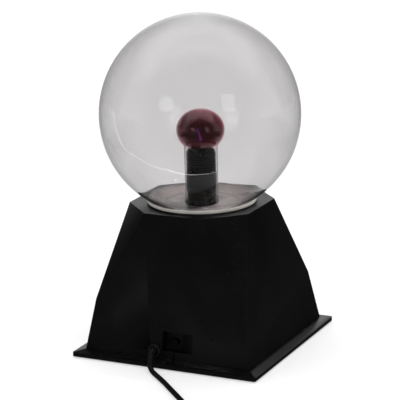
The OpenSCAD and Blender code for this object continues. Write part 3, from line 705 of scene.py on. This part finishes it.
# %% Wire
glow, tree, shader, place = new_material("wire_violet_glow")
glow_tone = use_group(tree, "tone_drift",
                      {"Vector": place, "Scale": 160, "First": (0.30, 0.07, 0.50, 1),
                       "Second": (0.42, 0.10, 0.62, 1)})
tree.links.new(glow_tone, shader.inputs["Emission Color"])
tree.links.new(glow_tone, shader.inputs["Base Color"])
shader.inputs["Emission Strength"].default_value = 6
shader.inputs["Roughness"].default_value = 0.3
wire_route = smooth_path([[0, 0, 207.05], [0.1, 0, 209.5], [0.9, 0.4, 212], [1.3, 0.7, 214.6],
                          [2.3, 1.1, 217], [2.9, 1.4, 220]], 6)
wire_r = np.linspace(1.25, 0.8, len(wire_route))
wire = add_piece("contact_wire_piece", swept("contact_wire_piece", wire_route, wire_r, 12),
                 glow, stands_for=["contact_wire"])

# %% [markdown]
# ## The turn of tape
# A turn of grey-black tape holds the sleeve's lower end. Its lower edge runs aslant, because
# it was wound by hand, and it lifts a little from the sleeve there. Height along the edge
# follows a leaning plane, and near the tape's end it steps up.

# %% Tape
tape_r, tape_wall, tape_top = 14.87, 0.28, 175.8
lean, lean_turn, lean_z = np.tan(radians(15)), radians(25.86), 159.8
start_step = 5


def tape_grid(columns=192, rows=18):
    """Low edge z = plane - lean * r cos(u - turn) + a step up where the tape starts. The
    band is a loop of points, up its face and back down behind it."""
    u = np.linspace(0, 2 * np.pi, columns, endpoint=False)
    off = np.angle(np.exp(1j * (u - lean_turn)))
    start = np.clip((0.63 - off) / 0.63, 0, 1) * np.clip((off + 1.6) / 0.8, 0, 1)
    low = lean_z - lean * tape_r * np.cos(off) + start_step * start
    high = tape_top + 0.25 * np.sin(3 * u + 0.6)
    share = np.linspace(0, 1, rows)[:, None]
    z = low + (high - low) * share
    lift = 0.35 * np.clip(1 - share / 0.12, 0, 1) ** 2 + 0.05 * np.sin(9 * u + 14 * share)
    face = tape_r + tape_wall + 0.05 + lift * (0.5 + 0.5 * np.cos(off))
    behind = face - tape_wall
    r = np.vstack([face, behind[::-1]])
    z = np.vstack([z, z[::-1]])
    return np.stack([r * np.cos(u), r * np.sin(u), z], -1)


tape = add_piece("tape_turn", grid_mesh("tape_turn", tape_grid(), (True, True), 60), tape_grey,
                 stands_for=["tape_band"])

# %% [markdown]
# ## The collar and the dish
# The globe sits in a shallow painted dish, and a light grey collar closes the gap to the
# base. Both are turned shapes: their whole form is in the profile.

# %% Collar and dish
top_z, collar_r, collar_z1 = 146.3, 54.8, 149.9
spigot_in, spigot_out, spigot_low = 50.4, 51.8, 137.5
collar_line = [[spigot_in, spigot_low], [spigot_out, spigot_low],
               [spigot_out, top_z + 0.05], [collar_r - 1, top_z + 0.05],
               [collar_r - 1, top_z + 0.6], [collar_r, top_z + 0.7],
               [collar_r, collar_z1 - 0.9], [collar_r - 0.5, collar_z1],
               [collar_r - 1.2, collar_z1 - 0.05],
               [52.9, collar_z1 - 0.65], [52.9, 148.3], [spigot_in, 146.8]]
collar_cut = [0.3, 0.3, 0.1, 0.1, 0.1, 0.15, 0.5, 0.4, 0.4, 0.3, 0.2, 0.2]
collar = add_piece("collar", turned("collar", rounded(collar_line, collar_cut, 5), steps=192,
                                    sharp=60), collar_grey,
                   stands_for=["collar_ring"])
seat_r, dish_wall, dish_rim, dish_hole = 100.2, 0.6, 52.6, 16.95
dish_low, dish_high = 141.8, 142.6


def dish_curve(r, flat_r, rim):
    """An arc of radius r about the globe's centre, from the flat middle's edge to the rim."""
    start, stop = (-np.degrees(np.arccos(across / r)) for across in (flat_r, rim))
    return arc(r, r, globe_z, start, stop, 24)


dish_out = seat_r + dish_wall
flat_out = np.sqrt(dish_out ** 2 - (globe_z - dish_low) ** 2)
flat_in = np.sqrt(seat_r ** 2 - (globe_z - dish_high) ** 2)
under = dish_curve(dish_out, flat_out, dish_rim)
upper = dish_curve(seat_r, flat_in, dish_rim - 0.05)[::-1]
dish_line = np.vstack([[[dish_hole, dish_low]], under, upper, [[dish_hole, dish_high]]])
dish = add_piece("seat_dish_piece", turned("seat_dish_piece", dish_line, steps=160, sharp=60),
                 dish_grey, stands_for=["seat_dish"])
print("collar top, mm:", collar_z1, "dish rim, mm:", round(float(upper[0][1]), 1))


# %% [markdown]
# ## Moulded parts with softened edges
# No moulded edge is sharp: it is rounded by a fraction of a millimetre, and that is where
# the light catches. The planar parts keep the CAD shape. A copy of the loose triangles is
# welded, flat neighbours are joined, and a Bevel modifier rounds the edges.

# %% Softened copies
def softened(name, node, width, finish, body="base", least=0.0, angle=28, segments=2):
    """Rounds the edges of a node's copy that turn by more than angle degrees. width is the
    rounding, and least the shortest edge that gets it, both in millimetres."""
    mesh = nodes[node].data.copy()
    mesh.name = name
    mesh.materials.clear()
    bm = bmesh.new()
    bm.from_mesh(mesh)
    bmesh.ops.remove_doubles(bm, verts=bm.verts, dist=2e-6)
    bmesh.ops.dissolve_limit(bm, angle_limit=radians(0.3), verts=bm.verts, edges=bm.edges)
    weight = bm.edges.layers.float.new("bevel_weight_edge")
    for edge in bm.edges:
        turn = edge.calc_face_angle(0.0)
        edge[weight] = float(turn > radians(angle) and edge.calc_length() > least * MM)
    bm.to_mesh(mesh)
    bm.free()
    piece = add_piece(name, mesh, finish, body, [node])
    round_edges = piece.modifiers.new("round_edges", "BEVEL")
    round_edges.limit_method, round_edges.width = "WEIGHT", width * MM
    round_edges.segments, round_edges.use_clamp_overlap = segments, True
    round_edges.harden_normals = True
    mesh.shade_smooth()
    mesh.set_sharp_from_angle(angle=radians(angle))
    return piece


base = softened("moulded_base", "body_shell", 0.7, black_base, least=7)
knob = softened("slide_knob", "switch_knob", 0.12, knob_black, "switch_slider",
                least=0.5)
blades = softened("plug_blade_pair", "plug_blades", 0.25, bpy.data.materials["bare_brass"],
                  least=1.2)
for node, finish in (("bottom_plate", plate_black), ("rubber_feet", foot_rubber)):
    for held in nodes[node].material_slots:
        held.material = finish
print("base:", len(base.data.polygons), "faces before its bevel")

# %% [markdown]
# ## The bushing and the strain relief
# The lead comes through a round flanged bushing. From it grows a tapered strain relief
# with shallow grooves that let it bend, carried along the start of the lead's own route.

# %% Bushing and strain relief
bushing_line = [[2.6, 78], [4.8, 78], [4.8, 87.05], [6.6, 87.05], [6.6, 90.9], [5.6, 92],
                [4.5, 91.6], [4.2, 89.6], [2.6, 89.6]]
bushing = add_piece("bushing",
                    turned("bushing", rounded(bushing_line, [0.2, 0.2, 0.1, 0.2, 0.7, 0.6, 0.4,
                                                             0.2, 0.2]),
                           (exit_point[0], 0, exit_point[2]), 1, 72),
                    bushing_black, stands_for=["cord_bushing"])
relief_path = smooth_path(relief_route, 14)
share = np.linspace(0, 1, len(relief_path))
grooves = 0.22 * np.clip(np.sin(share * 2 * np.pi * 7), 0, 1) ** 0.6
relief_r = np.interp(share, [0, 0.1, 0.5, 0.97, 1], [3.9, 3.95, 3.3, 2.8, 2.55])
relief_r -= grooves * ((share > 0.16) & (share < 0.86))
relief = add_piece("strain_relief", swept("strain_relief", relief_path, relief_r, 28),
                   lead_black, stands_for=["cord_boot"])
lead_curve.materials.append(lead_black)

# %% [markdown]
# ## The plug and the tie
# The plug has an oval body with finger dents and its own short relief. The coil is held by
# a strap of hook-and-loop tape, folded round the turns.

# %% Plug
plug_start, plug_y, plug_z = -7, 281, 7
plug_long = 34
hood_start, hood_end, hood_rings = -27, -6.5, 83


def plug_body_grid(steps=64):
    """Each ring is a superellipse |y/w|^n + |z/t|^n = 1 with n = 2.8; half width w and half
    thickness t follow the plug's length, narrow at the lead and waisted for the fingers."""
    s = np.linspace(0, 1, 40)[:, None]
    v = np.linspace(0, 2 * np.pi, steps, endpoint=False)[None]
    at = [0, 0.06, 0.3, 0.55, 0.8, 0.96, 1]
    w = np.interp(s, at, [6.5, 8.2, 10.6, 10.2, 12.3, 12.4, 11.8])
    t = np.interp(s, at, [4.9, 5.6, 6.4, 6.0, 6.8, 6.8, 6.3])
    power = 2 / 2.8
    y = w * np.sign(np.cos(v)) * np.abs(np.cos(v)) ** power
    z = t * np.sign(np.sin(v)) * np.abs(np.sin(v)) ** power
    x = plug_start + plug_long * s + 0 * v
    rings = np.stack([x, plug_y + y, plug_z + z], -1)
    ends = [np.broadcast_to([rings[k, 0, 0], plug_y, plug_z], (1, steps, 3)) for k in (0, -1)]
    return np.vstack([ends[0], rings, ends[1]])


plug = add_piece("plug_body_piece", grid_mesh("plug_body_piece", plug_body_grid(), sharp=50),
                 plug_black, stands_for=["plug_body"])
hood_x = np.linspace(hood_start, hood_end, hood_rings)
hood_share = np.linspace(0, 1, hood_rings)
hood_r = 3 + 2 * hood_share - 0.5 * (np.sin(hood_share * 2 * np.pi * 6) > 0.1) * (
    (hood_share > 0.12) & (hood_share < 0.9))
hood_path = np.stack([hood_x, plug_y + 0 * hood_x, plug_z + 0 * hood_x], 1)
hood = add_piece("plug_relief", swept("plug_relief", hood_path, hood_r, 28), lead_black,
                 stands_for=["plug_boot"])


# %% Tie
def tie_grid(columns=26):
    """A flat loop round the coil's section, in the plane of r and z, with round corners,
    8 mm wide; the strap's own thickness closes the band."""
    inner_r, outer_r = coil_inner - lead_d / 2 - 1, coil_outer + lead_d / 2
    low, high, thick = 0.55, 10.65, 0.6
    loop = rounded([[inner_r - 0.7, low], [outer_r + 0.1, low], [outer_r + 0.1, high],
                    [inner_r - 0.7, high]], [2.2] * 4, 6)
    centre = loop.mean(0)
    out = (loop - centre) / np.linalg.norm(loop - centre, axis=1, keepdims=True)
    shell = loop + out * thick * 0.9
    shell[:, 1] = np.clip(shell[:, 1], 0.02, 11.15)
    wide = np.linspace(-4, 4, columns)
    angle = radians(-40)
    radial = np.array([np.cos(angle), np.sin(angle), 0])
    sideways = np.array([-np.sin(angle), np.cos(angle), 0])

    def sheet(line):
        return (np.array([*coil_centre, 0]) + line[:, None, :1] * radial
                + wide[None, :, None] * sideways + line[:, None, 1:] * np.array([0, 0, 1]))
    return np.concatenate([sheet(shell), sheet(loop)[:, ::-1]], 1)


tie = add_piece("coil_tie", grid_mesh("coil_tie", tie_grid(), (True, True), 50), tie_black,
                stands_for=["cord_tie"])

# %% [markdown]
# ## Floor, light and surroundings
# The object stands on a plain pale floor under a plain white sky, and both are evenly
# bright to the camera, also through the glass. What the surfaces mirror is another matter:
# with no dark parts in it, glass and black plastic would look flat. The Light Path node
# tells a ray that has been mirrored by its glossy depth, so floor and sky each have two
# looks: a pale one, and one for mirrored rays. Clear glass mirrors singular rays, which see
# a sharp studio, and satin surfaces mirror spread rays, which see a dimmer one.

# %% Floor
floor_half = 6
mirrored_at = 0.5
floor_mesh = bpy.data.meshes.new("floor")
floor_mesh.from_pydata([(-floor_half, -floor_half, 0), (floor_half, -floor_half, 0),
                        (floor_half, floor_half, 0), (-floor_half, floor_half, 0)], [],
                       [(0, 1, 2, 3)])
floor = bpy.data.objects.new("floor", floor_mesh)
bpy.context.scene.collection.objects.link(floor)
pale, tree, shader, place = new_material("pale_floor")
shader.inputs["Base Color"].default_value = (0.62, 0.62, 0.62, 1)
shader.inputs["Roughness"].default_value = 0.9
shader.inputs["Specular IOR Level"].default_value = 0.1
own_light = add_node(tree, "Emission", {"Color": (1, 1, 1, 1), "Strength": 0.42})
pale_look = add_node(tree, "AddShader", {0: shader.outputs[0], 1: own_light.outputs[0]})
floor_mesh.materials.append(pale)

# %% [markdown]
# The mirrored floor is bright in a patch behind the object, half bright beside that patch,
# and dark in front. A thin bright streak lies on it too, curved at its near end: the globe
# mirrors it as the long fine arc on its left. It widens with distance, so that its image
# keeps one width. All of these are ramps over the floor's Object coordinates.

# %% Mirrored floor
seen_from = add_node(tree, "VectorRotate", {"Vector": place, "Axis": (0, 0, 1),
                                            "Angle": -(azimuth - radians(90))},
                     rotation_type="AXIS_ANGLE")
far = add_node(tree, "SeparateXYZ", {0: seen_from.outputs[0]}).outputs
in_front = ramp(tree, far["X"], -0.1, 0.12)
beside = ramp(tree, worked(tree, "ABSOLUTE", far["Y"]), 0.3, 0.5)
off_patch = worked(tree, "MAXIMUM", in_front, beside)
dim_level = ramp(tree, far["X"], -0.1, -0.5, 0.05, 0.42)

spread = add_node(tree, "SeparateXYZ", {0: place}).outputs
streak_start, streak_level = 0.083, 2.2
streak_y = ramp(tree, spread["X"], 0.24, 0.56, 0.24, 0.18, interpolation_type="SMOOTHSTEP")
off_streak = worked(tree, "ABSOLUTE", worked(tree, "SUBTRACT", spread["Y"], streak_y))
widening = worked(tree, "MAXIMUM", spread["X"], 0.36)
streak = ramp(tree, worked(tree, "DIVIDE", off_streak, widening), 0.012, 0.006, 0.0,
              streak_level)
streak = worked(tree, "MULTIPLY", streak,
                worked(tree, "GREATER_THAN", spread["X"], streak_start))

rays = add_node(tree, "LightPath").outputs
spread_ray = worked(tree, "SUBTRACT", 1.0, rays["Is Singular Ray"])
mirrored_level = ramp(tree, rays["Is Singular Ray"], 0.0, 1.0, 0.04,
                      worked(tree, "ADD", dim_level, streak))
mirrored_look = add_node(tree, "Emission", {"Color": (1, 1, 1, 1), "Strength": mirrored_level})
dimmed = worked(tree, "MAXIMUM", off_patch, spread_ray)
dimmed = worked(tree, "MAXIMUM", worked(tree, "GREATER_THAN", streak, 0.5), dimmed)
mirrored = worked(tree, "GREATER_THAN", rays["Glossy Depth"], mirrored_at)
ground = add_node(tree, "MixShader", {0: worked(tree, "MULTIPLY", dimmed, mirrored),
                                      1: pale_look.outputs[0], 2: mirrored_look.outputs[0]})
tree.links.new(ground.outputs[0], tree.nodes["Material Output"].inputs["Surface"])

# %% [markdown]
# The mirrored sky is a ring round the horizon, with its levels set by bearing, and white
# overhead. It darkens toward the camera, where a room has no lamps.

# %% Surroundings
world = bpy.data.worlds.new("studio")
bpy.context.scene.world = world
world.use_nodes = True
tree = world.node_tree
tree.nodes.clear()
heading = add_node(tree, "TexCoord").outputs["Generated"]
turned_way = add_node(tree, "VectorRotate", {"Vector": heading, "Axis": (0, 0, 1),
                                             "Angle": -(azimuth - radians(90))},
                      rotation_type="AXIS_ANGLE")
parts = add_node(tree, "SeparateXYZ", {0: turned_way.outputs[0]}).outputs
bearing = worked(tree, "ARCTAN2", parts["Y"], parts["X"])
around = add_node(tree, "ValToRGB", {0: ramp(tree, bearing, -np.pi, np.pi)})
stops = [(0.0, 0.9), (0.04, 0.5), (0.1, 0.3), (0.205, 0.22), (0.222, 0.5), (0.78, 0.5),
         (0.80, 0.22), (0.9, 0.3), (0.96, 0.5), (1.0, 0.9)]
levels = around.color_ramp
while len(levels.elements) < len(stops):
    levels.elements.new(0.5)
for element, (at, value) in zip(levels.elements, stops):
    element.position, element.color = at, (value, value, value, 1)
height = add_node(tree, "SeparateXYZ", {0: heading}).outputs["Z"]
facing_camera = add_node(tree, "VectorMath", {0: heading, 1: tuple(back)},
                         operation="DOT_PRODUCT").outputs["Value"]
ring = ramp(tree, facing_camera, 0.62, 0.10, 0.05, 1.1, interpolation_type="SMOOTHSTEP")
overhead = ramp(tree, height, 0.45, 0.8, interpolation_type="SMOOTHSTEP")
side_or_top = add_node(tree, "Mix", {0: overhead, 2: around.outputs[0], 3: 1.0})
studio = worked(tree, "MULTIPLY", side_or_top.outputs[0], ring)

# %% [markdown]
# Four windows of the studio are bright patches of its sky, two round and two square. The
# globe's front mirrors each as a soft highlight.


# %% Windows
def window(across, rise, half_wide, half_high, power, strength):
    """A bright patch |x/w|^p + |y/h|^p < 1, round for p = 2 and square for p = 8. across and
    rise say where its mirror image lies on the globe, in shares of the globe's radius. With
    n the globe's normal there, the patch lies in direction 2 (n.b) n - b, b toward the
    camera."""
    normal = (across * right + rise * up + np.sqrt(1 - across ** 2 - rise ** 2) * back)
    toward = 2 * normal.dot(back) * normal - back
    x_way = np.cross(up, toward)
    x_way /= np.linalg.norm(x_way)
    terms = []
    for way, half in ((x_way, half_wide), (np.cross(toward, x_way), half_high)):
        place = add_node(tree, "VectorMath", {0: heading, 1: tuple(way / (2 * half))},
                         operation="DOT_PRODUCT").outputs["Value"]
        terms.append(worked(tree, "POWER", worked(tree, "ABSOLUTE", place), power))
    patch = ramp(tree, worked(tree, "ADD", *terms), 1.25, 0.7, 0.0, strength)
    ahead = add_node(tree, "VectorMath", {0: heading, 1: tuple(toward)},
                     operation="DOT_PRODUCT").outputs["Value"]
    return worked(tree, "MULTIPLY", patch, worked(tree, "GREATER_THAN", ahead, 0.5))


windows = [(-0.327, 0.079, 0.074, 0.074, 2, 1.2), (0.274, 0.089, 0.065, 0.081, 8, 1.1),
           (-0.235, -0.035, 0.055, 0.089, 8, 0.5), (0.314, -0.04, 0.074, 0.074, 2, 0.8)]
for pane in windows:
    studio = worked(tree, "ADD", studio, window(*pane))

# %% [markdown]
# Satin surfaces mirror only a glow low behind the object, which lights the base's top. A
# mirrored ray sees the sharp or the dim studio, and every other ray the even white sky.

# %% Which sky a ray sees
rays = add_node(tree, "LightPath").outputs
away = ramp(tree, parts["X"], -0.82, -0.97, 0.01, 0.95, interpolation_type="SMOOTHSTEP")
dim = add_node(tree, "Mix", {0: overhead, 2: away, 3: 0.05})
sharp_or_dim = add_node(tree, "Mix", {0: rays["Is Singular Ray"], 2: dim.outputs[0],
                                      3: studio})
for_diffuse = ramp(tree, rays["Is Diffuse Ray"], 0.0, 1.0, 1.0, 1.1)
even = add_node(tree, "Background", {"Color": (1, 1, 1, 1), "Strength": for_diffuse})
seen = add_node(tree, "Background", {"Color": sharp_or_dim.outputs[0], "Strength": 1.0})
mirrored = worked(tree, "GREATER_THAN", rays["Glossy Depth"], mirrored_at)
pick = add_node(tree, "MixShader", {0: mirrored, 1: even.outputs[0], 2: seen.outputs[0]})
out = tree.nodes.new("ShaderNodeOutputWorld")
tree.links.new(pick.outputs[0], out.inputs["Surface"])
world.cycles.sampling_method = "NONE"
print("windows:", len(windows), "sky levels:", len(stops))

# %% [markdown]
# Lamps are few: a large soft one overhead to model the form, a narrow spot on the dish,
# which the globe above it would leave dull, and a thin strip that lies on the table and
# shines up. Only the strip is seen in mirrors: the globe shows it as the bright line that
# ends the fine arc. The spot stays visible to transmitted rays, because its light has to
# pass through the globe.


# %% Lamps
def aim(at, toward):
    """The matrix of a lamp that stands at one place, in metres, and shines at another."""
    turn = (Vector(toward) - Vector(at)).to_track_quat("-Z", "Y").to_matrix().to_4x4()
    return Matrix.Translation(at) @ turn


def add_lamp(name, kind, power, placed, **settings):
    """A lamp of a kind and a power in watts, with its sizes in metres as settings."""
    data = bpy.data.lights.new(name, kind)
    data.energy = power
    for key, value in settings.items():
        setattr(data, key, value)
    made = bpy.data.objects.new(name, data)
    made.matrix_world = placed
    bpy.context.scene.collection.objects.link(made)
    return made


overhead_lamp = add_lamp("overhead_soft", "AREA", 4, aim((0.2, -0.3, 1.7), (0, 0, 0.18)),
                         shape="DISK", size=1.2)
dish_spot = add_lamp("dish_spot", "SPOT", 55, aim((-0.25, -0.5, 1.3), (0, 0, 0.145)),
                     spot_size=radians(5.0), spot_blend=0.3, shadow_soft_size=0.03)
strip_at = Matrix.Translation((-0.037, 0.206, 0.0015))
strip_turn = Matrix.Rotation(radians(20), 4, "Z") @ Matrix.Rotation(np.pi, 4, "X")
front_strip = add_lamp("front_strip", "AREA", 0.026, strip_at @ strip_turn,
                       shape="RECTANGLE", size=0.25, size_y=0.006)
for lamp in (overhead_lamp, front_strip):
    lamp.visible_camera = lamp.visible_transmission = False
for lamp in (overhead_lamp, dish_spot):
    lamp.visible_glossy = False

# %% [markdown]
# ## Closing
# The view layer is brought up to date.

# %% Update
bpy.context.view_layer.update()
